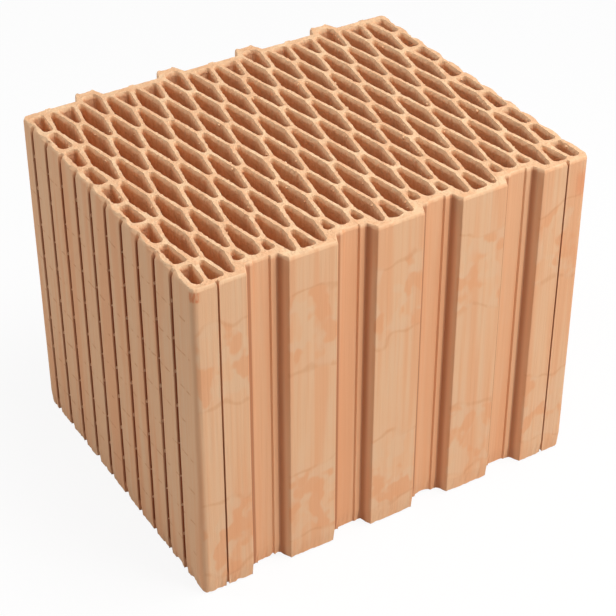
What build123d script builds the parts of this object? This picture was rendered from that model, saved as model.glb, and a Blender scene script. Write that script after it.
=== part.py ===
from build123d import *
import os

# Hollow fired clay wall block with tongue-and-groove ends.
#
# The block is one extruded column of clay, cut to length by a wire and fired, so one profile
# runs through its whole height. X runs through the wall, between the two grooved plaster faces.
# Y runs along the wall, from the recessed end to the tongued end. Z runs up the height.
# The origin is the centre of the bottom bed, tongues included. All sizes are in millimetres.

os.makedirs("parts", exist_ok=True)

# The body between its flat faces
block_thickness = 300.0
block_length = 247.0
block_height = 249.0
block_corner_radius = 5.0

# The lattice of long diamond cells with blunt tips, and the clay between two waists and two tips
cell_width = 11.8
cell_length = 49.0
cell_tip_width = 2.8
cell_tip_chamfer = 0.8
waist_web = 9.8
tip_web = 4.6
first_row = 28.5
narrowest_cell = 4.0

# The cells along the side shells: how far each reaches inward of its column line, and the clay
# between two of them
edge_cell_reach = 4.4
edge_cell_tip_reach = 1.7
edge_cell_web = 4.0

# Chamfers where a shell cuts a cell short, and the share of the shortest edge that one may take
cut_corner_chamfer = 1.3
chamfer_share = 0.45

# The clay left around the cells
side_shell = 5.3
pad_shell = 5.5
recess_shell = 6.0
recess_back_width = 32.0
far_shell = 6.0
tongue_wall = 8.0
side_web = 4.2

# The recesses in the near end, each with a deeper band along its floor
columns_per_tongue = 3
recess_mouth = 29.5
recess_floor = 22.0
recess_depth = 7.8
band_mouth = 12.6
band_floor = 11.0
band_depth = 1.4
pad_edge_radius = 1.0

# The tongues on the far end, each with a shallow dip between two ears
tongue_base = 22.0
tongue_tip = 14.0
tongue_height = 10.0
dip_mouth = 9.6
dip_floor = 7.0
dip_depth = 1.3
tongue_edge_radius = 1.2

# The low ridges midway between the tongues, and the scored lines in the end pads
ridge_base = 6.0
ridge_top = 4.0
ridge_height = 1.3
score_from_side = 18.2
score_width = 1.0
score_depth = 2.5

# The plaster grooves in both side faces
groove_mouth = 4.2
groove_floor = 2.6
groove_depth = 3.0
groove_pitch = 22.45
first_groove = 27.8
groove_end_margin = 9.0

column_pitch = cell_width + waist_web
row_pitch = cell_length + tip_web
edge_cell_length = row_pitch - edge_cell_web
near_y = -(block_length + tongue_height) / 2
far_y = near_y + block_length
half_thickness = block_thickness / 2
tongue_pitch = columns_per_tongue * column_pitch


def at(value, place):
    """Whether a coordinate lies at a place, apart from rounding."""
    return abs(value - place) < 0.01


def spread(reach, pitch, shift=0.0):
    """Places on one pitch, alike on both sides of zero and no farther out than the reach."""
    count = int(reach / pitch) + 2
    places = [(step + shift) * pitch for step in range(-count, count + 1)]
    return [place for place in places if abs(place) <= reach]


def trapezoid(base, top, rise):
    """Corners of a trapezoid that stands on the X axis and reaches up or down by its rise."""
    return [(-base / 2, 0), (base / 2, 0), (top / 2, rise), (-top / 2, rise)]


recess_reach = half_thickness - recess_mouth / 2 - block_corner_radius
recess_places = spread(recess_reach, tongue_pitch, 0.5)
ridge_places = spread(half_thickness - ridge_base / 2 - block_corner_radius, tongue_pitch)
score_places = [side * (half_thickness - score_from_side) for side in (-1, 1)]
groove_count = int((block_length - first_groove - groove_end_margin) / groove_pitch) + 1
groove_places = [near_y + first_groove + step * groove_pitch for step in range(groove_count)]

# The outline, seen from above
with BuildSketch() as outline:
    with Locations((0, (near_y + far_y) / 2)):
        Rectangle(block_thickness, block_length)
    fillet(outline.vertices(), block_corner_radius)

    # Recesses in the near end, then the deeper band along each floor
    with Locations(*[(x, near_y) for x in recess_places]):
        Polygon(*trapezoid(recess_mouth, recess_floor, recess_depth), align=None, mode=Mode.SUBTRACT)
    with Locations(*[(x, near_y + recess_depth) for x in recess_places]):
        Polygon(*trapezoid(band_mouth, band_floor, band_depth), align=None, mode=Mode.SUBTRACT)

    # Tongues on the far end, then the dip in the tip of each
    with Locations(*[(x, far_y) for x in recess_places]):
        Polygon(*trapezoid(tongue_base, tongue_tip, tongue_height), align=None)
    with Locations(*[(x, far_y + tongue_height) for x in recess_places]):
        Polygon(*trapezoid(dip_mouth, dip_floor, -dip_depth), align=None, mode=Mode.SUBTRACT)

    # Ridges between the tongues
    with Locations(*[(x, far_y) for x in ridge_places]):
        Polygon(*trapezoid(ridge_base, ridge_top, ridge_height), align=None)

    # Edges of the pads and the tongues, worn round by the die
    recess_edges = [x + side * recess_mouth / 2 for x in recess_places for side in (-1, 1)]
    pad_corners = outline.vertices().filter_by(
        lambda v: at(v.Y, near_y) and any(at(v.X, x) for x in recess_edges)
    )
    fillet(pad_corners, pad_edge_radius)
    tongue_edges = [x + side * tongue_tip / 2 for x in recess_places for side in (-1, 1)]
    tongue_corners = outline.vertices().filter_by(
        lambda v: at(v.Y, far_y + tongue_height) and any(at(v.X, x) for x in tongue_edges)
    )
    fillet(tongue_corners, tongue_edge_radius)

    # Scored lines in the two end pads
    with Locations(*[(x, near_y + score_depth / 2) for x in score_places]):
        Rectangle(score_width, score_depth, mode=Mode.SUBTRACT)

    # Plaster grooves in both side faces
    for side in (-1, 1):
        with Locations(*[Location((side * half_thickness, y, 0), (0, 0, side * 90)) for y in groove_places]):
            Polygon(*trapezoid(groove_mouth, groove_floor, groove_depth), align=None, mode=Mode.SUBTRACT)

# Centres of the diamonds: every other row is shifted by half a column
row_step = row_pitch / 2
row_count = int(block_length / row_step) + 2
cell_rows = [(near_y + first_row + step * row_step, step % 2) for step in range(-1, row_count)]
lattice_reach = half_thickness - side_shell
lattice_places = [
    (x, y) for y, odd in cell_rows for x in spread(lattice_reach, column_pitch, 0.0 if odd else 0.5)
]
edge_column = max(x for x, y in lattice_places)
edge_rows = [y for x, y in lattice_places if x == edge_column]
diamond_places = [(x, y) for x, y in lattice_places if abs(x) < edge_column]

# The room for cells: the body within its shells
cells_near_y = near_y + pad_shell
cells_far_y = far_y - far_shell
room_width = block_thickness - 2 * side_shell
room_length = cells_far_y - cells_near_y
recess_back = recess_depth + band_depth + recess_shell
tongue_room = tongue_height + far_shell - tongue_wall
with BuildSketch() as cell_room:
    with Locations((0, (cells_near_y + cells_far_y) / 2)):
        Rectangle(room_width, room_length)

    # Less the clay behind the recesses
    with Locations(*[(x, near_y + recess_back / 2) for x in recess_places]):
        Rectangle(recess_back_width, recess_back, mode=Mode.SUBTRACT)

    # The cell behind each tongue reaches into it
    with Locations(*[(x, cells_far_y + tongue_room / 2) for x in recess_places]):
        Rectangle(cell_width, tongue_room)

    # Cross webs tie both side shells to the lattice
    with Locations(*[(side * edge_column, y) for y in edge_rows for side in (-1, 1)]):
        Rectangle(cell_width, side_web, mode=Mode.SUBTRACT)

# One whole diamond
with BuildSketch() as diamond:
    Polygon(*trapezoid(cell_width, cell_tip_width, cell_length / 2), align=None)
    Polygon(*trapezoid(cell_width, cell_tip_width, -cell_length / 2), align=None)
    tip_corners = diamond.vertices().filter_by(lambda v: abs(v.Y) > cell_length / 4)
    chamfer(tip_corners, cell_tip_chamfer)

# The cell along the side shell at +X: half a diamond inward, and straight along the shell
with BuildSketch() as edge_cell:
    edge_cell_end = edge_cell_length / 2
    Polygon(
        (column_pitch / 2, -edge_cell_end),
        (column_pitch / 2, edge_cell_end),
        (-edge_cell_tip_reach, edge_cell_end),
        (-edge_cell_reach, 0),
        (-edge_cell_tip_reach, -edge_cell_end),
        align=None,
    )
    inner_tips = edge_cell.vertices().filter_by(lambda v: at(v.X, -edge_cell_tip_reach))
    chamfer(inner_tips, cut_corner_chamfer)

# The lattice of cells, cut by the outline of the room
with BuildSketch() as cells:
    with Locations(*diamond_places):
        add(diamond.sketch)
    with Locations(*[(edge_column, y) for y in edge_rows]):
        add(edge_cell.sketch)
    with Locations(*[Location((-edge_column, y, 0), (0, 0, 180)) for y in edge_rows]):
        add(edge_cell.sketch)
    add(cell_room.sketch, mode=Mode.INTERSECT)

# Cells too narrow for a core in the die stay solid, and the corners of each cut are chamfered
room_edge = cell_room.face().outer_wire()
open_cells = []
for cell in cells.faces():
    cell_size = cell.bounding_box().size
    if min(cell_size.X, cell_size.Y) < narrowest_cell:
        continue
    cut_corners = cell.vertices().filter_by(lambda v: at(v.distance_to(room_edge), 0))
    if cut_corners:
        cut_edges = [edge for edge in cell.edges() if set(edge.vertices()) & set(cut_corners)]
        shortest_edge = min(edge.length for edge in cut_edges)
        corner_chamfer = min(cut_corner_chamfer, shortest_edge * chamfer_share)
        cell = cell.chamfer_2d(corner_chamfer, corner_chamfer, cut_corners)
    open_cells.append(cell)

# The block: the outline pulled up to its height, with every cell right through it
with BuildPart() as clay_block:
    with BuildSketch():
        add(outline.sketch)
        add(open_cells, mode=Mode.SUBTRACT)
    extrude(amount=block_height)

clay_block.part.label = "clay_block"
export_step(clay_block.part, "parts/clay_block.step")
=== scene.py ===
# %% [markdown]
# # A hollow clay wall block
# The block is one column of clay that a press pushed through a die, a wire cut to length and a kiln fired.
# Three kinds of surface tell that story. The wire leaves the two beds rough and a little torn at their rims.
# The die leaves the outer skin smooth, with fine upright drag marks. The cores leave the cell walls redder, and
# painted shade makes them redder still further in.
# The imported model comes in first, because every size below is measured on it or fits inside it.

# %% Load the imported model
import math

import bmesh
import bpy
from mathutils import Matrix, Vector


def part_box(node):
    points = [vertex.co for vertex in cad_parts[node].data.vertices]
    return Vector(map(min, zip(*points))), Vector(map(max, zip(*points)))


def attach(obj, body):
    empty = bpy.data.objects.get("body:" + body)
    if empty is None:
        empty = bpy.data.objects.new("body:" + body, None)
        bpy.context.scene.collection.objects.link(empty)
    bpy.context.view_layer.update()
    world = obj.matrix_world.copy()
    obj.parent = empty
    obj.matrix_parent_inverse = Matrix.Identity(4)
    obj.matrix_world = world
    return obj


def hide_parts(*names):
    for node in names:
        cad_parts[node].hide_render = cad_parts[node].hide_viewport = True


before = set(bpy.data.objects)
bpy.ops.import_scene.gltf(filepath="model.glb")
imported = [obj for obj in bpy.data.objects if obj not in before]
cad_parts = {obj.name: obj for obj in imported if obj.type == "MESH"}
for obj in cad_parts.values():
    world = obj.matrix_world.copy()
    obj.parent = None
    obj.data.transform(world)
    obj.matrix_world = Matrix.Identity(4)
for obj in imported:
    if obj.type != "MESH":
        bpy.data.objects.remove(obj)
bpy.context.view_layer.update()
packed_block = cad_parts["clay_block"]
block_low, block_high = (Vector(corner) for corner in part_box("clay_block"))
block_height = block_high.z
half_thickness = block_high.x
pad_face = block_low.y
print("block from", tuple(block_low), "to", tuple(block_high))

# %% [markdown]
# ## The section that the die gives
# A block like this is drawn once, as a flat section, and that section runs through its whole height.
# The imported model holds it already: every edge between the lower bed and an upright wall is a piece of it.
# A merged copy of the model is cut down to those edges. What is left is one loop for the outline and one for
# each cell, and the extrusion below starts from them, so it can't drift away from the measured shape.
# The places of the plaster grooves, the recesses and the scored lines are read off the same loop, because wear
# and painted shade gather along them.

# %% Take the section from the lower bed
weld_distance = 1e-6


def section_of_bed(node):
    """The loops of edges that bound the lower bed, as a mesh without faces."""
    section = bmesh.new()
    section.from_mesh(node.data)
    bmesh.ops.remove_doubles(section, verts=section.verts, dist=weld_distance)
    walls = [face for face in section.faces if max(v.co.z for v in face.verts) > weld_distance]
    wall_edges = {edge for face in walls for edge in face.edges}
    rim = [e for e in wall_edges if max(v.co.z for v in e.verts) < weld_distance]
    rim_points = {v for e in rim for v in e.verts}
    bmesh.ops.delete(section, geom=list(section.faces), context="FACES_ONLY")
    kept = set(rim)
    bmesh.ops.delete(section, geom=[e for e in section.edges if e not in kept], context="EDGES")
    bmesh.ops.delete(section, geom=[v for v in section.verts if v not in rim_points], context="VERTS")
    mesh = bpy.data.meshes.new("die_section")
    section.to_mesh(mesh)
    section.free()
    return mesh


section_mesh = section_of_bed(packed_block)
print("section:", len(section_mesh.vertices), "points,", len(section_mesh.edges), "edges")

# %% Find the plaster grooves in the section
same_place = 1e-5
section_points = [vertex.co.copy() for vertex in section_mesh.vertices]


def at(value, place):
    """Whether a coordinate lies at a place, apart from rounding."""
    return abs(value - place) < same_place


groove_depth = 0.003
floor_ends = sorted(point.y for point in section_points if at(point.x, groove_depth - half_thickness))
groove_places = [(low + high) / 2 for low, high in zip(floor_ends[::2], floor_ends[1::2])]
first_groove = groove_places[0]
last_groove_step = len(groove_places) - 1
groove_pitch = (groove_places[-1] - first_groove) / last_groove_step
print(len(groove_places), "grooves from y =", round(first_groove, 4), "on a pitch of", round(groove_pitch, 5))

# %% Find the recess floors in the section
recess_depth = 0.0078
corners_each = 4
corners = sorted(point.x for point in section_points if at(point.y, pad_face + recess_depth))
recess_pitch = corners[corners_each] - corners[0]
half_floor = (corners[corners_each - 1] - corners[0]) / 2
print("recess floors", round(half_floor * 2, 4), "wide on a pitch of", round(recess_pitch, 4))

# %% Find the scored lines in the section
score_depth = 0.0025
score_floor = [abs(point.x) for point in section_points if at(point.y, pad_face + score_depth)]
score_place = (min(score_floor) + max(score_floor)) / 2
print("scored lines at", round(score_place, 4), "on both sides")

# %% [markdown]
# ## Small helpers for node trees
# Geometry and materials are both trees of nodes, and a few short helpers keep them readable. One adds a node
# and fills its inputs, with a value or with a link from another node. The others do a step of arithmetic or a
# smooth step, make soft noise, or measure how far a place lies from a side face or from a groove.

# %% Node helpers
def add(tree, kind, inputs=None, **settings):
    """Adds a node to a tree, sets its properties, and fills or links its inputs."""
    made = tree.nodes.new(kind)
    for name, value in settings.items():
        setattr(made, name, value)
    for key, value in (inputs or {}).items():
        if isinstance(value, bpy.types.NodeSocket):
            tree.links.new(value, made.inputs[key])
        else:
            made.inputs[key].default_value = value
    return made


def calc(tree, operation, *values, clamp=False):
    """One step of arithmetic on sockets or numbers, and the socket that holds the answer."""
    wanted = dict(enumerate(values))
    return add(tree, "ShaderNodeMath", wanted, operation=operation, use_clamp=clamp).outputs[0]


def times(tree, *values):
    """The product of several sockets or numbers."""
    product = values[0]
    for value in values[1:]:
        product = calc(tree, "MULTIPLY", product, value)
    return product


def apart(tree, first, second):
    """How far two values lie apart."""
    return calc(tree, "ABSOLUTE", calc(tree, "SUBTRACT", first, second))


def ramp(tree, value, low, high, to_low=0.0, to_high=1.0):
    """A smooth step: to_low up to low, to_high from high on."""
    wanted = {"Value": value, "From Min": low, "From Max": high, "To Min": to_low, "To Max": to_high}
    return add(tree, "ShaderNodeMapRange", wanted, interpolation_type="SMOOTHSTEP").outputs["Result"]


def fall(tree, value, low, high, most=1.0):
    """A smooth step down: most up to low, nothing from high on."""
    return ramp(tree, value, low, high, most, 0.0)


def noise(tree, place, scale, detail=2.0, stretch=None, shift=0.0):
    """Soft noise between 0 and 1 over a place, stretched by three factors where given."""
    if stretch or shift:
        scaled = add(tree, "ShaderNodeVectorMath", {0: place, 1: stretch or (1, 1, 1)}, operation="MULTIPLY")
        moved = {0: scaled.outputs[0], 1: (shift, shift, shift)}
        place = add(tree, "ShaderNodeVectorMath", moved, operation="ADD").outputs[0]
    return add(tree, "ShaderNodeTexNoise", {"Vector": place, "Scale": scale, "Detail": detail}).outputs[0]


# %% Places on the block
def side_depth_at(tree, x):
    """How deep a place lies behind the nearer side face."""
    return calc(tree, "SUBTRACT", half_thickness, calc(tree, "ABSOLUTE", x))


def groove_distance(tree, y):
    """How far a place lies along the wall from the middle of the nearest groove."""
    step = calc(tree, "ROUND", calc(tree, "DIVIDE", calc(tree, "SUBTRACT", y, first_groove), groove_pitch))
    step = calc(tree, "MINIMUM", calc(tree, "MAXIMUM", step, 0), last_groove_step)
    middle = calc(tree, "ADD", times(tree, step, groove_pitch), first_groove)
    return calc(tree, "SUBTRACT", y, middle)


# %% [markdown]
# ## Three finishes of the same clay
# One clay, three histories. Each finish starts from the same fired colour, because the photograph's lit faces
# keep one hue, and differs in what touched the surface last. Colours and relief are noise over the object's own
# coordinates, in metres, so their scale is real: one unit of noise at scale 1000 is a millimetre.

# %% The colours of the fired clay
def from_screen(red, green, blue):
    """A colour given as 0 to 255 on a screen, as the linear colour that a shader wants."""
    def linear(value):
        """One channel, by the curve that screens use."""
        share = value / 255
        return share / 12.92 if share <= 0.04045 else ((share + 0.055) / 1.055) ** 2.4

    return (linear(red), linear(green), linear(blue), 1.0)


fired_beige = from_screen(235, 186, 144)
fired_pale = from_screen(243, 204, 163)
fired_grey = from_screen(232, 192, 154)
fired_peach = from_screen(233, 166, 120)
fired_red = from_screen(214, 144, 100)
# the brown of painted shade in the recess corners, the scored lines and the grooves
shade_brown = from_screen(158, 84, 46)
smudge_orange = from_screen(226, 128, 78)
print("fired beige in linear light:", [round(value, 3) for value in fired_beige])


# %% Material helpers
def new_finish(name, rough):
    """An empty material with one shader of that roughness, its tree and its object coordinates."""
    finish = bpy.data.materials.new(name)
    finish.use_nodes = True
    tree = finish.node_tree
    shader = tree.nodes["Principled BSDF"]
    shader.inputs["Roughness"].default_value = rough
    shader.inputs["Specular IOR Level"].default_value = 0.25
    place = add(tree, "ShaderNodeTexCoord").outputs["Object"]
    return finish, tree, shader, place


def blend(tree, share, first, second):
    """Mixes two colours by a share."""
    mixed = add(tree, "ShaderNodeMix", {0: share, 6: first, 7: second}, data_type="RGBA")
    return mixed.outputs[2]


def relief(tree, shader, height, depth):
    """Turns a height between 0 and 1 into relief of that depth in metres."""
    bump = add(tree, "ShaderNodeBump", {"Height": height, "Distance": depth, "Strength": 1.0})
    tree.links.new(bump.outputs[0], shader.inputs["Normal"])


# %% The finish of the wire-cut beds
def make_cut_clay():
    """Rough, a little torn and paler: what the wire leaves."""
    finish, tree, shader, place = new_finish("cut_clay", rough=0.92)
    patches = ramp(tree, noise(tree, place, 60, detail=3), 0.35, 0.7)
    grain = noise(tree, place, 600, detail=3)
    torn = noise(tree, place, 260, detail=3, shift=5.0)
    colour = blend(tree, patches, fired_beige, fired_pale)
    colour = blend(tree, ramp(tree, torn, 0.5, 0.68, to_high=0.3), colour, fired_peach)
    colour = blend(tree, ramp(tree, grain, 0.55, 0.75, to_high=0.3), colour, fired_red)
    tree.links.new(colour, shader.inputs["Base Color"])
    height = calc(tree, "ADD", grain, calc(tree, "ADD", torn, torn))
    relief(tree, shader, height, depth=0.001)
    return finish


# %% [markdown]
# The skin carries the most marks. The die drags fine upright streaks, some of them more orange. Where blocks
# were stacked against each other in the kiln, the pads show two bands of bloom and blush with soft lines
# across. Each mark is a share between 0 and 1 that depends on the place, and blends one colour over the rest.

# %% The drag of the die and the bands of the kiln
band_middles = (0.046, 0.187)
band_half = 0.03


def die_streaks(tree, place):
    """The streaked colour that the die leaves, and the fine streaks alone."""
    fine_streaks = noise(tree, place, 1.0, detail=3, stretch=(420, 420, 9))
    wide_streaks = noise(tree, place, 1.0, detail=2, stretch=(85, 85, 3.5), shift=8.0)
    mottle = noise(tree, place, 1.0, detail=3, stretch=(60, 60, 22))
    colour = blend(tree, ramp(tree, mottle, 0.42, 0.66, to_high=0.35), fired_beige, fired_grey)
    colour = blend(tree, ramp(tree, wide_streaks, 0.46, 0.62, to_high=0.6), colour, fired_peach)
    colour = blend(tree, ramp(tree, fine_streaks, 0.4, 0.8, to_high=0.4), colour, fired_peach)
    return colour, fine_streaks


def pad_stains(tree, colour, place, z, on_pads):
    """Bloom, blush and soft lines in two bands across the pads."""
    wander = calc(tree, "SUBTRACT", noise(tree, place, 40, detail=1, shift=2.5), 0.5)
    height = calc(tree, "ADD", z, times(tree, wander, 0.03))
    near = calc(tree, "MINIMUM", *[apart(tree, height, middle) for middle in band_middles])
    in_band = times(tree, on_pads, fall(tree, near, band_half - 0.003, band_half + 0.004))
    bloom = ramp(tree, noise(tree, place, 1.0, detail=2, stretch=(62, 62, 40), shift=4.0), 0.46, 0.56)
    colour = blend(tree, times(tree, in_band, bloom, 0.45), colour, fired_grey)
    blush = ramp(tree, noise(tree, place, 1.0, detail=2, stretch=(60, 60, 42), shift=11.0), 0.52, 0.6)
    colour = blend(tree, times(tree, in_band, blush, 0.75), colour, fired_peach)
    edge = apart(tree, near, band_half)
    line = times(tree, on_pads, fall(tree, edge, 0.0003, 0.0024), ramp(tree, bloom, 0.0, 1.0, 0.3, 0.08))
    return blend(tree, line, colour, fired_red)


# %% [markdown]
# The recesses, scored lines and grooves carry painted shade. The recesses get a redder tint, painted for the
# light that bounces between their clay walls, and their narrow corners get painted brown shade. So a brown line
# of painted shade follows both corners of each recess floor, wider on the left, and fills each scored line. The
# grooves get painted brown shade from a little below the cut, because the wire dragged paler clay over their
# tops.

# %% Painted shade in recesses, scored lines and grooves
# how much wider the painted corner shade is on the left side of each recess
left_shade_extra = 0.0016


def recess_shade(tree, colour, x, side_depth, end_depth):
    """Painted shade: a redder tint in the recesses, and brown lines along the corners of their floors and in
    the scored lines.
    """
    in_recess = times(tree, ramp(tree, end_depth, 0.003, 0.007), fall(tree, end_depth, 0.011, 0.014))
    in_recess = times(tree, in_recess, ramp(tree, side_depth, 0.01, 0.02))
    # painted shade: a redder tint for the light that bounces between the recess walls
    colour = blend(tree, times(tree, in_recess, 0.35), colour, fired_peach)
    steps = calc(tree, "SUBTRACT", calc(tree, "DIVIDE", x, recess_pitch), 0.5)
    off_middle = times(tree, calc(tree, "SUBTRACT", steps, calc(tree, "ROUND", steps)), recess_pitch)
    past_corner = calc(tree, "SUBTRACT", calc(tree, "ABSOLUTE", off_middle), half_floor)
    on_left = calc(tree, "LESS_THAN", off_middle, 0.0)
    onto_floor = calc(tree, "ADD", past_corner, times(tree, on_left, left_shade_extra))
    # painted shade along both corners of each recess floor, wider on the left
    corner = times(tree, in_recess, ramp(tree, onto_floor, -0.0017, -0.0006))
    corner = times(tree, corner, fall(tree, past_corner, 0.0016, 0.0042))
    colour = blend(tree, times(tree, corner, 0.6), colour, shade_brown)
    # painted shade that fills each scored line
    from_score = apart(tree, calc(tree, "ABSOLUTE", x), score_place)
    in_score = times(tree, fall(tree, from_score, 0.0005, 0.0008), fall(tree, end_depth, 0.003, 0.004))
    return blend(tree, in_score, colour, shade_brown)


def groove_shade(tree, colour, y, side_depth, below_top):
    """Painted brown shade in the plaster grooves, from a little below the cut."""
    in_groove = fall(tree, calc(tree, "ABSOLUTE", groove_distance(tree, y)), 0.0019, 0.0022)
    in_groove = times(tree, in_groove, ramp(tree, side_depth, 0.0003, 0.001))
    in_groove = times(tree, in_groove, fall(tree, side_depth, 0.004, 0.005))
    in_groove = times(tree, in_groove, ramp(tree, below_top, 0.004, 0.009))
    # painted shade in the grooves, nearly full strength
    return blend(tree, times(tree, in_groove, 0.95), colour, shade_brown)


# %% [markdown]
# Three things touched the skin last. The column rested on rollers, which left faint level scratches across
# the strips between the grooves at even heights. The wire smeared pale clay along the upper rim. Something
# left an orange smudge at the near upper corner and a fainter tint at the right one.

# %% Scratches, the smeared rim and the marked corners
scratch_gap = 0.0274
first_scratch = 0.031
smudge_height = 0.2425
tint_height = 0.229


def scratch_marks(tree, place, z):
    """Short level scratches at even heights."""
    wobble = times(tree, noise(tree, place, 90, detail=2, shift=6.0), 0.004)
    above_first = calc(tree, "SUBTRACT", calc(tree, "ADD", z, wobble), first_scratch)
    steps = calc(tree, "DIVIDE", above_first, scratch_gap)
    off = apart(tree, steps, calc(tree, "ROUND", steps))
    thin = fall(tree, times(tree, off, scratch_gap), 0.0002, 0.0009)
    broken = ramp(tree, noise(tree, place, 1.0, detail=1, stretch=(1, 150, 36), shift=17.0), 0.47, 0.58)
    return times(tree, thin, broken)


def wire_smear(tree, colour, place, below_top):
    """Pale clay along the upper rim, down to a ragged line."""
    ragged = calc(tree, "ADD", below_top, times(tree, noise(tree, place, 200), 0.004))
    return blend(tree, times(tree, fall(tree, ragged, 0.002, 0.005), 0.7), colour, fired_pale)


def corner_marks(tree, colour, place, x, z, end_depth):
    """The orange smudge at the near upper corner and the tint at the right one."""
    left = calc(tree, "ADD", x, half_thickness)
    smudge = times(tree, fall(tree, end_depth, 0.003, 0.005), fall(tree, left, 0.004, 0.0068))
    smudge = times(tree, smudge, fall(tree, apart(tree, z, smudge_height), 0.0024, 0.0046))
    patchy = noise(tree, place, 1.0, stretch=(1300, 1300, 160))
    smudge = times(tree, smudge, ramp(tree, patchy, 0.35, 0.6, 0.15, 0.85))
    colour = blend(tree, smudge, colour, smudge_orange)
    right = calc(tree, "SUBTRACT", half_thickness, x)
    tint = times(tree, fall(tree, end_depth, 0.003, 0.006), fall(tree, right, 0.006, 0.014))
    tint = times(tree, tint, fall(tree, apart(tree, z, tint_height), 0.004, 0.014, most=0.4))
    return blend(tree, tint, colour, smudge_orange)


# %% The finish of the outer skin
def make_skin_clay():
    """Smooth clay with every mark of the die, the kiln, the rollers and the wire, and painted shade in
    recesses, scored lines and grooves.
    """
    finish, tree, shader, place = new_finish("skin_clay", rough=0.8)
    x, y, z = add(tree, "ShaderNodeSeparateXYZ", {0: place}).outputs
    side_depth = side_depth_at(tree, x)
    end_depth = calc(tree, "SUBTRACT", y, pad_face)
    below_top = calc(tree, "SUBTRACT", block_height, z)
    on_side = times(tree, fall(tree, side_depth, 0.0004, 0.001), ramp(tree, end_depth, 0.006, 0.008))
    on_pads = fall(tree, end_depth, 0.0008, 0.0025)

    colour, fine_streaks = die_streaks(tree, place)
    colour = pad_stains(tree, colour, place, z, on_pads)
    colour = recess_shade(tree, colour, x, side_depth, end_depth)
    colour = groove_shade(tree, colour, y, side_depth, below_top)
    scratches = times(tree, on_side, scratch_marks(tree, place, z))
    colour = blend(tree, times(tree, scratches, 0.6), colour, fired_red)
    colour = wire_smear(tree, colour, place, below_top)
    colour = corner_marks(tree, colour, place, x, z, end_depth)
    tree.links.new(colour, shader.inputs["Base Color"])

    fine_grain = noise(tree, place, 1100, detail=2)
    height = calc(tree, "ADD", fine_streaks, times(tree, fine_grain, 0.3))
    height = calc(tree, "SUBTRACT", height, times(tree, scratches, 0.8))
    relief(tree, shader, height, depth=0.00035)
    return finish


# %% [markdown]
# Inside the cells the light fades quickly. The colour there is paler a few millimetres from both ends and turns
# redder further in, partly as painted shade of that fading light and partly for clay that fired redder. The
# colour changes a few millimetres below the rim, on a ragged line, and the cores leave upright drag marks and
# loose grain.

# %% The finish of the cell walls
def make_cell_clay():
    """Redder below the rim, partly as painted shade, with the drag marks of the cores and loose grain."""
    finish, tree, shader, place = new_finish("cell_clay", rough=0.85)
    z = add(tree, "ShaderNodeSeparateXYZ", {0: place}).outputs["Z"]
    ends = calc(tree, "MINIMUM", z, calc(tree, "SUBTRACT", block_height, z))
    streaks = noise(tree, place, 1.0, detail=3, stretch=(300, 300, 30))
    grain = noise(tree, place, 420, detail=3, shift=3.0)
    # redder further in: partly painted shade of the light fading inside the cells, partly redder clay
    deep_shade_and_clay = ramp(tree, calc(tree, "ADD", ends, times(tree, streaks, 0.012)), 0.006, 0.03)
    colour = blend(tree, times(tree, deep_shade_and_clay, 0.85), fired_beige, fired_peach)
    colour = blend(tree, ramp(tree, streaks, 0.42, 0.7, to_high=0.3), colour, fired_red)
    colour = blend(tree, ramp(tree, grain, 0.5, 0.7, to_high=0.5), colour, fired_red)
    # paler within a few millimetres of both ends
    paler_near_ends = fall(tree, calc(tree, "ADD", ends, times(tree, grain, 0.003)), 0.002, 0.0055)
    colour = blend(tree, paler_near_ends, colour, fired_pale)
    tree.links.new(colour, shader.inputs["Base Color"])
    relief(tree, shader, calc(tree, "ADD", streaks, grain), depth=0.0007)
    return finish


cut_clay = make_cut_clay()
skin_clay = make_skin_clay()
cell_clay = make_cell_clay()
packed_block.data.materials.clear()
packed_block.data.materials.append(skin_clay)
print("finishes:", [finish.name for finish in (cut_clay, skin_clay, cell_clay)])

# %% [markdown]
# ## Pressing the column
# The shape follows a rule, so a tree of Geometry Nodes makes it. Each straight run of the section first gets
# more points, close enough to show a torn rim. A little blur then rounds the corners of the cells, as wet clay
# does. The filled section is the lower bed. Its free edges are pushed up one row at a time in a repeat zone,
# which is what the press does, and the new walls keep facing outwards because they grow from a face that does.
# A copy of the bed closes the top. Outline and cells have their own rows: the skin needs many, the cells only
# near the top.

# %% Inputs and result of a tree
def new_object(name, data):
    """A new object in the scene."""
    made = bpy.data.objects.new(name, data)
    bpy.context.scene.collection.objects.link(made)
    return made


def new_tree(name, sizes):
    """A tree with a geometry input and output and a named number input for each size."""
    tree = bpy.data.node_groups.new(name, "GeometryNodeTree")
    tree.interface.new_socket("Geometry", in_out="INPUT", socket_type="NodeSocketGeometry")
    tree.interface.new_socket("Geometry", in_out="OUTPUT", socket_type="NodeSocketGeometry")
    for label, value in sizes.items():
        kind = "NodeSocketInt" if isinstance(value, int) else "NodeSocketFloat"
        tree.interface.new_socket(label, in_out="INPUT", socket_type=kind)
    return tree, add(tree, "NodeGroupInput").outputs


def run_tree(name, start_mesh, tree, sizes):
    """Runs a tree once on a mesh and returns a plain object that holds what it made."""
    maker = new_object(name + "_maker", start_mesh)
    modifier = maker.modifiers.new(name, "NODES")
    modifier.node_group = tree
    for item in tree.interface.items_tree:
        if item.in_out == "INPUT" and item.name in sizes:
            modifier[item.identifier] = sizes[item.name]
    evaluated = maker.evaluated_get(bpy.context.evaluated_depsgraph_get())
    mesh = bpy.data.meshes.new_from_object(evaluated)
    maker.modifiers.remove(modifier)
    bpy.data.objects.remove(maker)
    mesh.name = name
    return new_object(name, mesh)


# %% Marks and choices
def mark(tree, geometry, name, value, domain):
    """Writes a yes or no on each point, edge or face."""
    wanted = {"Geometry": geometry, "Name": name, "Value": value}
    stored = add(tree, "GeometryNodeStoreNamedAttribute", wanted, data_type="BOOLEAN", domain=domain)
    return stored.outputs[0]


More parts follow.
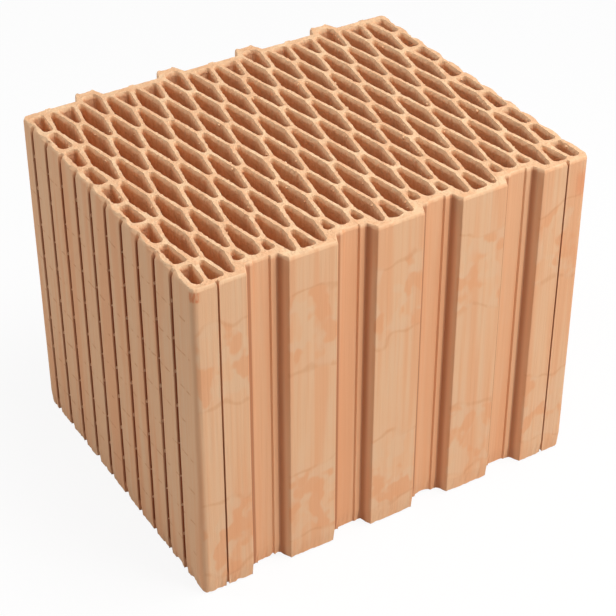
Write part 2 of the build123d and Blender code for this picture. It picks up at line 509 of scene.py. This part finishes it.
def marked(tree, name):
    """Reads such a mark."""
    return add(tree, "GeometryNodeInputNamedAttribute", {"Name": name}, data_type="BOOLEAN").outputs[0]


def both(tree, first, second):
    """Yes where two marks are."""
    return add(tree, "FunctionNodeBooleanMath", {0: first, 1: second}, operation="AND").outputs[0]


def opposite(tree, chosen):
    """Yes where a mark is not."""
    return add(tree, "FunctionNodeBooleanMath", {0: chosen}, operation="NOT").outputs[0]


def either(tree, which, yes, no):
    """One of two numbers, by a mark."""
    wanted = {"Switch": which, "True": yes, "False": no}
    return add(tree, "GeometryNodeSwitch", wanted, input_type="FLOAT").outputs[0]


# %% A section with more points
section_sizes = {
    "Height": block_height,
    "Longest Cell": 0.3,
    "Cell Spacing": 0.0021,
    "Skin Spacing": 0.0019,
    "Cell Rounding": 1,
    "Rounding Weight": 0.16,
}


def finer_section(tree, sizes):
    """The section as curves with more points on long runs, and which points are on the outline."""
    curves = add(tree, "GeometryNodeMeshToCurve", {"Mesh": sizes["Geometry"]}).outputs[0]
    length = add(tree, "GeometryNodeSplineLength").outputs["Length"]
    is_outline = add(tree, "FunctionNodeCompare", {0: length, 1: sizes["Longest Cell"]}).outputs[0]
    spacing = either(tree, is_outline, sizes["Skin Spacing"], sizes["Cell Spacing"])

    # cut each run between two points by the spacing
    here = add(tree, "GeometryNodeInputPosition").outputs[0]
    next_point = add(tree, "GeometryNodeOffsetPointInCurve", {"Offset": 1}).outputs["Point Index"]
    wanted = {"Index": next_point, "Value": here}
    there = add(tree, "GeometryNodeFieldAtIndex", wanted, data_type="FLOAT_VECTOR").outputs[0]
    run = add(tree, "ShaderNodeVectorMath", {0: here, 1: there}, operation="DISTANCE").outputs["Value"]
    cuts = calc(tree, "FLOOR", calc(tree, "DIVIDE", run, spacing))
    finer = add(tree, "GeometryNodeSubdivideCurve", {"Curve": curves, "Cuts": cuts}).outputs[0]

    # round the corners of the cells
    wanted = {"Value": here, "Iterations": sizes["Cell Rounding"], "Weight": sizes["Rounding Weight"]}
    soft = add(tree, "GeometryNodeBlurAttribute", wanted, data_type="FLOAT_VECTOR").outputs[0]
    wanted = {"Geometry": finer, "Position": soft, "Selection": opposite(tree, is_outline)}
    return add(tree, "GeometryNodeSetPosition", wanted).outputs[0], is_outline


# %% Rows of the press
def left_above(tree, step, rows, gather):
    """The share of the height left above a row, where rows gather towards the top by a power."""
    left = calc(tree, "SUBTRACT", 1.0, calc(tree, "DIVIDE", step, rows), clamp=True)
    return calc(tree, "POWER", left, gather)


def press_rows(tree, geometry, starts, wall, sizes):
    """Pushes marked edges up to the height, row by row. The wall is Skin or Cell."""
    rows, gather = sizes[wall + " Rows"], sizes[wall + " Gather"]
    entry = add(tree, "GeometryNodeRepeatInput")
    leave = add(tree, "GeometryNodeRepeatOutput")
    entry.pair_with_output(leave)
    tree.links.new(rows, entry.inputs["Iterations"])
    tree.links.new(mark(tree, geometry, "rising", starts, "EDGE"), entry.inputs["Geometry"])
    step = entry.outputs["Iteration"]
    left_now = left_above(tree, step, rows, gather)
    left_next = left_above(tree, calc(tree, "ADD", step, 1), rows, gather)
    climb = times(tree, calc(tree, "SUBTRACT", left_now, left_next), sizes["Height"])
    wanted = {
        "Mesh": entry.outputs["Geometry"],
        "Selection": marked(tree, "rising"),
        "Offset": add(tree, "ShaderNodeCombineXYZ", {"Z": climb}).outputs[0],
        "Offset Scale": 1.0,
    }
    pushed = add(tree, "GeometryNodeExtrudeMesh", wanted, mode="EDGES")
    risen = mark(tree, pushed.outputs["Mesh"], "rising", pushed.outputs["Top"], "EDGE")
    tree.links.new(risen, leave.inputs["Geometry"])
    return leave.outputs["Geometry"]


# %% [markdown]
# ## Wear of the pressed column
# The wire drags clay over the groove tops and pulls the rim in beside each groove, so the upper edge of a
# grooved face is a row of shallow scallops. Every rim is a little rounded and torn, the beds are rough, and the
# foot is chipped. The walls of the cells may lean both ways. On the outside the wear only takes clay away or
# fills a part of a groove, so the block stays inside its measured box.

# %% Pushing points about
def outward(tree):
    """The level direction that a wall faces."""
    normal = add(tree, "GeometryNodeInputNormal").outputs[0]
    level = add(tree, "ShaderNodeVectorMath", {0: normal, 1: (1, 1, 0)}, operation="MULTIPLY").outputs[0]
    return add(tree, "ShaderNodeVectorMath", {0: level}, operation="NORMALIZE").outputs[0]


def push(tree, geometry, amount, direction, chosen=True):
    """Moves points by an amount along a direction, all of them or the chosen ones."""
    offset = add(tree, "ShaderNodeVectorMath", {0: direction, "Scale": amount}, operation="SCALE").outputs[0]
    wanted = {"Geometry": geometry, "Offset": offset, "Selection": chosen}
    return add(tree, "GeometryNodeSetPosition", wanted).outputs[0]


def fading(tree, distance, reach, power):
    """One where the distance is nothing, and nothing from the reach on."""
    return calc(tree, "POWER", fall(tree, calc(tree, "DIVIDE", distance, reach), 0.0, 1.0), power)


# %% Scallops and smeared groove tops
def scalloped(tree, block, place, sizes):
    """Fills the groove tops with dragged clay and pulls the rim in beside them."""
    x, y, z = add(tree, "ShaderNodeSeparateXYZ", {0: place}).outputs
    below_top = calc(tree, "SUBTRACT", sizes["Height"], z)
    depth_now = side_depth_at(tree, x)
    on_side = calc(tree, "LESS_THAN", depth_now, times(tree, sizes["Groove Depth"], 1.1))
    off = calc(tree, "ABSOLUTE", groove_distance(tree, y))
    ragged = noise(tree, place, 180, detail=2, shift=2.0)
    uneven = ramp(tree, noise(tree, place, 45, detail=1, shift=31.0), 0.3, 0.7, 0.45, 1.25)

    # the dragged clay ends on a ragged line
    low_edge = times(tree, sizes["Smear Height"], calc(tree, "ADD", ragged, 0.45))
    filled = fall(tree, calc(tree, "DIVIDE", below_top, low_edge), 0.25, 1.0)
    in_groove = calc(tree, "LESS_THAN", off, sizes["Groove Half"])
    filled = times(tree, filled, sizes["Groove Fill"], uneven, in_groove)

    # the rim is pulled in most at the groove and at the top
    near = fall(tree, calc(tree, "DIVIDE", off, sizes["Scallop Reach"]), 0.15, 1.0)
    high = fading(tree, below_top, sizes["Scallop Height"], 1.5)
    level = calc(tree, "SUBTRACT", 1.0, calc(tree, "DIVIDE", depth_now, sizes["Groove Depth"]), clamp=True)
    pulled = times(tree, sizes["Scallop Depth"], near, high, level, uneven)
    amount = calc(tree, "SUBTRACT", times(tree, filled, depth_now), pulled)
    amount = times(tree, amount, on_side, calc(tree, "SIGN", x))
    return push(tree, block, amount, (1, 0, 0), marked(tree, "skin"))


# %% Rims, beds and foot
def worn(tree, block, sizes):
    """The torn rims, the rough beds, the drag of the die, the scalloped groove tops and the chipped foot."""
    place = add(tree, "GeometryNodeInputPosition").outputs[0]
    z = add(tree, "ShaderNodeSeparateXYZ", {0: place}).outputs["Z"]
    on_skin = marked(tree, "skin")
    end_distance = calc(tree, "MINIMUM", z, calc(tree, "SUBTRACT", sizes["Height"], z))
    block = scalloped(tree, block, place, sizes)

    # slow waves of the die on skin and cells, always into the clay on the skin
    slow = noise(tree, place, 1.0, detail=2, stretch=(45, 45, 11))
    inward = times(tree, slow, sizes["Skin Waviness"], -1.0)
    around = times(tree, calc(tree, "SUBTRACT", slow, 0.5), sizes["Skin Waviness"], 2.0)
    block = push(tree, block, either(tree, on_skin, inward, around), outward(tree))

    # rounded and torn rims, fading away from both cuts
    torn = noise(tree, place, 330, detail=2, shift=9.0)
    round_off = fading(tree, end_distance, sizes["Rim Reach"], 2.0)
    round_off = times(tree, round_off, sizes["Rim Radius"], calc(tree, "ADD", torn, 0.5), -1.0)
    fade = fading(tree, end_distance, sizes["Rim Depth"], 2.0)
    wobble = times(tree, calc(tree, "SUBTRACT", torn, 0.5), fade, sizes["Rim Wobble"])
    inward = times(tree, calc(tree, "ABSOLUTE", wobble), -1.0)
    amount = calc(tree, "ADD", either(tree, on_skin, inward, wobble), round_off)
    block = push(tree, block, amount, outward(tree))

    # the wire's rough cut, always into the clay
    rough = noise(tree, place, 280, detail=3, shift=13.0)
    sink = times(tree, rough, fall(tree, end_distance, 0.0, 0.001), sizes["Cut Roughness"])
    turned = calc(tree, "SIGN", calc(tree, "SUBTRACT", times(tree, sizes["Height"], 0.5), z))
    block = push(tree, block, times(tree, sink, turned), (0, 0, 1))

    # chips along the foot of the outline
    chip = ramp(tree, noise(tree, place, 95, detail=3, shift=21.0), 0.52, 0.72)
    low_share = fall(tree, calc(tree, "DIVIDE", z, times(tree, sizes["Chip Height"], 2.5)), 0.0, 1.0)
    return push(tree, block, times(tree, chip, low_share, sizes["Chip Height"]), (0, 0, 1), on_skin)


# %% Sizes of the press
press_sizes = section_sizes | {
    "Cell Rows": 7,
    "Skin Rows": 34,
    "Cell Gather": 3.4,
    "Skin Gather": 1.6,
    "Rim Radius": 0.0008,
    "Rim Reach": 0.0025,
    "Rim Wobble": 0.003,
    "Rim Depth": 0.004,
    "Cut Roughness": 0.0006,
    "Skin Waviness": 0.0004,
    "Groove Depth": groove_depth,
    "Groove Half": 0.0018,
    "Groove Fill": 0.45,
    "Smear Height": 0.007,
    "Scallop Depth": 0.0024,
    "Scallop Reach": 0.009,
    "Scallop Height": 0.006,
    "Chip Height": 0.0024,
}
crisp_bend = math.radians(38)
level_share = 0.9


# %% The whole pressing tree
def section_bed(tree, sizes):
    """The filled section, facing up, with the points of the outline marked as skin."""
    finer, is_outline = finer_section(tree, sizes)
    wanted = {"Geometry": finer, "Selection": is_outline}
    outline = add(tree, "GeometryNodeSeparateGeometry", wanted, domain="CURVE").outputs[0]
    bed = add(tree, "GeometryNodeFillCurve", {"Curve": finer}, mode="TRIANGLES").outputs[0]
    outline_mesh = add(tree, "GeometryNodeCurveToMesh", {"Curve": outline}).outputs[0]
    gap = add(tree, "GeometryNodeProximity", {0: outline_mesh}, target_element="POINTS").outputs["Distance"]
    return mark(tree, bed, "skin", calc(tree, "LESS_THAN", gap, weld_distance), "POINT")


def upright_walls(tree, bed, sizes):
    """The lower bed, and the skin and cell walls that the press pushes up from its free edges."""
    lower_bed = add(tree, "GeometryNodeFlipFaces", {0: bed}).outputs[0]
    wanted = {"A": add(tree, "GeometryNodeInputMeshEdgeNeighbors").outputs[0], "B": 1}
    free = add(tree, "FunctionNodeCompare", wanted, data_type="INT", operation="EQUAL").outputs[0]
    on_skin = marked(tree, "skin")
    block = press_rows(tree, lower_bed, both(tree, free, on_skin), "Skin", sizes)
    return press_rows(tree, block, both(tree, free, opposite(tree, on_skin)), "Cell", sizes)


def closed_block(tree, bed, walls, sizes):
    """The walls with the upper bed joined on, and the level faces marked as cut."""
    lift = add(tree, "ShaderNodeCombineXYZ", {"Z": sizes["Height"]}).outputs[0]
    upper_bed = add(tree, "GeometryNodeTransform", {"Geometry": bed, "Translation": lift}).outputs[0]
    joined = add(tree, "GeometryNodeJoinGeometry")
    for part in (upper_bed, walls):
        tree.links.new(part, joined.inputs[0])
    wanted = {"Geometry": joined.outputs[0], "Distance": same_place}
    block = add(tree, "GeometryNodeMergeByDistance", wanted).outputs[0]
    normal = add(tree, "GeometryNodeInputNormal").outputs[0]
    facing = add(tree, "ShaderNodeSeparateXYZ", {0: normal}).outputs["Z"]
    level = calc(tree, "GREATER_THAN", calc(tree, "ABSOLUTE", facing), level_share)
    return mark(tree, block, "cut", level, "FACE")


def dressed(tree, block):
    """Crisp edges kept crisp, and each kind of surface in its own clay."""
    bend = add(tree, "GeometryNodeInputMeshEdgeAngle").outputs["Unsigned Angle"]
    crisp = calc(tree, "GREATER_THAN", bend, crisp_bend)
    block = add(tree, "GeometryNodeSetShadeSmooth", {0: block, 1: crisp, 2: False}, domain="EDGE").outputs[0]
    block = add(tree, "GeometryNodeRealizeInstances", {0: block}).outputs[0]
    surfaces = ((cell_clay, True), (skin_clay, marked(tree, "skin")), (cut_clay, marked(tree, "cut")))
    for finish, chosen in surfaces:
        wanted = {"Geometry": block, "Material": finish, "Selection": chosen}
        block = add(tree, "GeometryNodeSetMaterial", wanted).outputs[0]
    return block


def make_press():
    """The tree that turns the flat section into the worn block."""
    tree, sizes = new_tree("press_column", press_sizes)
    bed = section_bed(tree, sizes)
    block = closed_block(tree, bed, upright_walls(tree, bed, sizes), sizes)
    block = dressed(tree, worn(tree, block, sizes))
    tree.links.new(block, add(tree, "NodeGroupOutput").inputs[0])
    return tree


# %% Press the column
def triangles(piece):
    """How many triangles an object holds."""
    return sum(len(face.vertices) - 2 for face in piece.data.polygons)


pressed_clay = run_tree("pressed_clay", section_mesh, make_press(), press_sizes)
print("pressed clay:", len(pressed_clay.data.vertices), "points,", triangles(pressed_clay), "triangles")

# %% [markdown]
# ## Crumbs
# Torn clay leaves crumbs: some hang on the rims of the cells just below the cut, and a burr sits on the edge of
# each groove at every height where a roller crossed it. Both are scattered over points of the same section with
# a fixed seed, as small lumps of twenty faces that stand half in the clay.

# %% Lumps of clay
crumb_sizes = section_sizes | {
    "Rim Share": 0.02,
    "Burr Rows": 8,
    "Burr Gap": scratch_gap,
    "First Burr": first_scratch,
    "Seed": 5,
}
most_turn = 0.6


def drawn(tree, low, high, seed):
    """A random vector between two corners."""
    wanted = {"Min": low, "Max": high, "Seed": seed}
    return add(tree, "FunctionNodeRandomValue", wanted, data_type="FLOAT_VECTOR").outputs["Value"]


def lumps(tree, points, smallest, largest, seed):
    """Small faceted lumps on points, each with its own size and turn."""
    lump = add(tree, "GeometryNodeMeshIcoSphere", {"Radius": 1.0, "Subdivisions": 1}).outputs["Mesh"]
    wanted = {
        "Points": points,
        "Instance": lump,
        "Scale": drawn(tree, smallest, largest, seed),
        "Rotation": drawn(tree, (0, 0, -most_turn), (0, 0, most_turn), seed),
    }
    return add(tree, "GeometryNodeInstanceOnPoints", wanted).outputs[0]


# %% Crumbs on the rims of the cells
smallest_crumb, largest_crumb = (0.0005, 0.0005, 0.0005), (0.0012, 0.0012, 0.0014)
lowest_crumb, highest_crumb = -0.0045, -0.0016


def rim_crumbs(tree, sizes):
    """Lumps on a few of the cells' points, a little below the upper rim."""
    finer, is_outline = finer_section(tree, sizes)
    wanted = {"Geometry": finer, "Selection": is_outline}
    cells = add(tree, "GeometryNodeSeparateGeometry", wanted, domain="CURVE").outputs[1]
    points = add(tree, "GeometryNodeCurveToPoints", {"Curve": cells}, mode="EVALUATED").outputs[0]
    wanted = {"Probability": sizes["Rim Share"], "Seed": sizes["Seed"]}
    chance = add(tree, "FunctionNodeRandomValue", wanted, data_type="BOOLEAN").outputs[3]
    points = add(tree, "GeometryNodeSeparateGeometry", {"Geometry": points, "Selection": chance}).outputs[0]
    rim_height = add(tree, "ShaderNodeCombineXYZ", {"Z": sizes["Height"]}).outputs[0]
    drop = drawn(tree, (0, 0, lowest_crumb), (0, 0, highest_crumb), sizes["Seed"])
    lift = add(tree, "ShaderNodeVectorMath", {0: rim_height, 1: drop}, operation="ADD").outputs[0]
    points = add(tree, "GeometryNodeSetPosition", {"Geometry": points, "Offset": lift}).outputs[0]
    return lumps(tree, points, smallest_crumb, largest_crumb, sizes["Seed"])


# %% Burrs in the grooves
smallest_burr, largest_burr = (0.0006, 0.0004, 0.0007), (0.0013, 0.001, 0.0021)
face_depth = 0.0001
groove_reach = 0.0025
burr_depth, burr_shift = 0.0016, -0.0001
jitter_low, jitter_high = (0, -0.0003, -0.003), (0, 0.0001, 0.003)


def groove_burrs(tree, sizes):
    """A ladder of lumps up the far edge of each groove, set a little into it."""
    place = add(tree, "GeometryNodeInputPosition").outputs[0]
    x, y, z = add(tree, "ShaderNodeSeparateXYZ", {0: place}).outputs
    side_depth = side_depth_at(tree, x)
    on_face = calc(tree, "LESS_THAN", side_depth, face_depth)
    off = groove_distance(tree, y)
    past_middle = calc(tree, "GREATER_THAN", off, 0.0)
    far_edge = times(tree, on_face, past_middle, calc(tree, "LESS_THAN", off, groove_reach))
    wanted = {"Mesh": sizes["Geometry"], "Selection": far_edge}
    edges = add(tree, "GeometryNodeMeshToPoints", wanted).outputs[0]

    # one rung for each roller
    gap = add(tree, "ShaderNodeCombineXYZ", {"Z": sizes["Burr Gap"]}).outputs[0]
    first = add(tree, "ShaderNodeCombineXYZ", {"Z": sizes["First Burr"]}).outputs[0]
    wanted = {"Count": sizes["Burr Rows"], "Start Location": first, "Offset": gap}
    ladder = add(tree, "GeometryNodeMeshLine", wanted).outputs[0]
    ladders = add(tree, "GeometryNodeInstanceOnPoints", {"Points": edges, "Instance": ladder}).outputs[0]
    points = add(tree, "GeometryNodeRealizeInstances", {0: ladders}).outputs[0]
    points = add(tree, "GeometryNodeMeshToPoints", {"Mesh": points}).outputs[0]

    inward = times(tree, calc(tree, "SIGN", x), -burr_depth)
    into_groove = add(tree, "ShaderNodeCombineXYZ", {"X": inward, "Y": burr_shift}).outputs[0]
    jitter = drawn(tree, jitter_low, jitter_high, sizes["Seed"])
    offset = add(tree, "ShaderNodeVectorMath", {0: into_groove, 1: jitter}, operation="ADD").outputs[0]
    points = add(tree, "GeometryNodeSetPosition", {"Geometry": points, "Offset": offset}).outputs[0]
    return lumps(tree, points, smallest_burr, largest_burr, sizes["Seed"])


# %% Scatter the crumbs and give the pieces to the frame
def make_crumbs(wanted_lumps, finish):
    """A tree that scatters one kind of lumps in one finish."""
    tree, sizes = new_tree("scatter_crumbs", crumb_sizes)
    crumbs = add(tree, "GeometryNodeRealizeInstances", {0: wanted_lumps(tree, sizes)}).outputs[0]
    crumbs = add(tree, "GeometryNodeSetMaterial", {"Geometry": crumbs, "Material": finish}).outputs[0]
    tree.links.new(crumbs, add(tree, "NodeGroupOutput").inputs[0])
    return tree


cell_crumbs = run_tree("cell_crumbs", section_mesh, make_crumbs(rim_crumbs, cell_clay), crumb_sizes)
burrs = run_tree("groove_burrs", section_mesh, make_crumbs(groove_burrs, cut_clay), crumb_sizes)
for piece in (pressed_clay, cell_crumbs, burrs):
    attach(piece, "root")
    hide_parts("clay_block")
    print(piece.name, triangles(piece), "triangles")

# %% [markdown]
# ## Floor, light and camera
# A pale floor and a white surround show the block as a catalogue does. A high soft box makes the bed the
# brightest face. One from the right lights the recessed end. One from behind on the left grazes the grooved
# face, so that the grooves stay dark. The floor throws back less light than it shows, as a floor far below a
# plinth would. The photograph is an off-centre crop of a larger one. Its perspective comes from a camera that
# looks past the block, so the lens is shifted a little to bring the block back into the picture.

# %% Floor
floor_reach = 4.0
floor_drop = 0.0004
floor_throws = (0.6, 0.6, 0.6, 1)
floor_shows = (0.93, 0.93, 0.93, 1)
white = (1, 1, 1, 1)
white_share = 0.9

floor_mesh = bpy.data.meshes.new("studio_floor")
floor_corners = [(x * floor_reach, y * floor_reach, 0) for x, y in ((-1, -1), (1, -1), (1, 1), (-1, 1))]
floor_mesh.from_pydata(floor_corners, [], [(0, 1, 2, 3)])
studio_floor = new_object("studio_floor", floor_mesh)
studio_floor.location.z = -floor_drop


def seen_directly(tree):
    """Yes for rays that show the background: from the camera, a gloss or a clear body."""
    path = add(tree, "ShaderNodeLightPath").outputs
    seen = calc(tree, "MAXIMUM", path["Is Camera Ray"], path["Is Glossy Ray"])
    return calc(tree, "MAXIMUM", seen, path["Is Transmission Ray"])


def make_floor_finish():
    """Nearly white where it is seen, and a duller matt where it only throws light back."""
    finish = bpy.data.materials.new("white_floor")
    finish.use_nodes = True
    tree = finish.node_tree
    tree.nodes.clear()
    matt = add(tree, "ShaderNodeBsdfDiffuse", {"Color": floor_throws}).outputs[0]
    pale = add(tree, "ShaderNodeBsdfDiffuse", {"Color": floor_shows}).outputs[0]
    glow = add(tree, "ShaderNodeEmission", {"Color": white, "Strength": 1.0}).outputs[0]
    shown = add(tree, "ShaderNodeMixShader", {0: white_share, 1: pale, 2: glow}).outputs[0]
    mixed = add(tree, "ShaderNodeMixShader", {0: seen_directly(tree), 1: matt, 2: shown}).outputs[0]
    add(tree, "ShaderNodeOutputMaterial", {"Surface": mixed})
    return finish


floor_mesh.materials.append(make_floor_finish())
print("floor", 2 * floor_reach, "metres wide in", floor_mesh.materials[0].name)

# %% World
fill_strength = 0.23
world = bpy.data.worlds.new("white_surround")
bpy.context.scene.world = world
world.use_nodes = True
sky = world.node_tree
sky.nodes.clear()
shown_more = times(sky, seen_directly(sky), 1.0 - fill_strength)
sky_strength = calc(sky, "ADD", fill_strength, shown_more)
sky_light = add(sky, "ShaderNodeBackground", {"Color": white, "Strength": sky_strength}).outputs[0]
add(sky, "ShaderNodeOutputWorld", {"Surface": sky_light})
print("surround fills with", fill_strength, "of the white that it shows")

# %% Lamps
soft_boxes = {
    "high_soft_box": {"place": (0.35, -0.42, 1.65), "width": 0.9, "power": 21},
    "right_soft_box": {"place": (1.0, -1.7, 0.7), "width": 0.8, "power": 14.5},
    "left_soft_box": {"place": (-1.5, 1.1, 0.9), "width": 0.7, "power": 10.5},
}


def soft_lamp(name, aim, place, width, power):
    """Adds a square soft box that faces its aim."""
    lamp = bpy.data.lights.new(name, "AREA")
    lamp.size = width
    lamp.energy = power
    turn = (Vector(aim) - Vector(place)).to_track_quat("-Z", "Y").to_matrix().to_4x4()
    new_object(name, lamp).matrix_world = Matrix.Translation(place) @ turn


block_middle = (block_low + block_high) / 2
for name, soft_box in soft_boxes.items():
    soft_lamp(name, block_middle, **soft_box)
    print(name, soft_box["power"], "watts")

# %% Camera
camera_place = Vector((-0.53547, -0.88561, 0.84406))
camera_azimuth = math.radians(-30.05)
camera_elevation = math.radians(34.321)
camera_roll = math.radians(-0.879)
lens_data = bpy.data.cameras.new("catalogue_camera")
lens_data.sensor_width = 36.0
lens_data.lens = 102.765
lens_data.shift_x = 0.0649
lens_data.shift_y = -0.0649
camera = new_object("catalogue_camera", lens_data)
turn = Matrix.Rotation(camera_azimuth, 4, "Z") @ Matrix.Rotation(math.pi / 2 - camera_elevation, 4, "X")
camera.matrix_world = Matrix.Translation(camera_place) @ turn @ Matrix.Rotation(camera_roll, 4, "Z")
bpy.context.scene.camera = camera
bpy.context.scene.view_settings.view_transform = "Standard"
print("camera at", tuple(round(value, 4) for value in camera.matrix_world.translation))
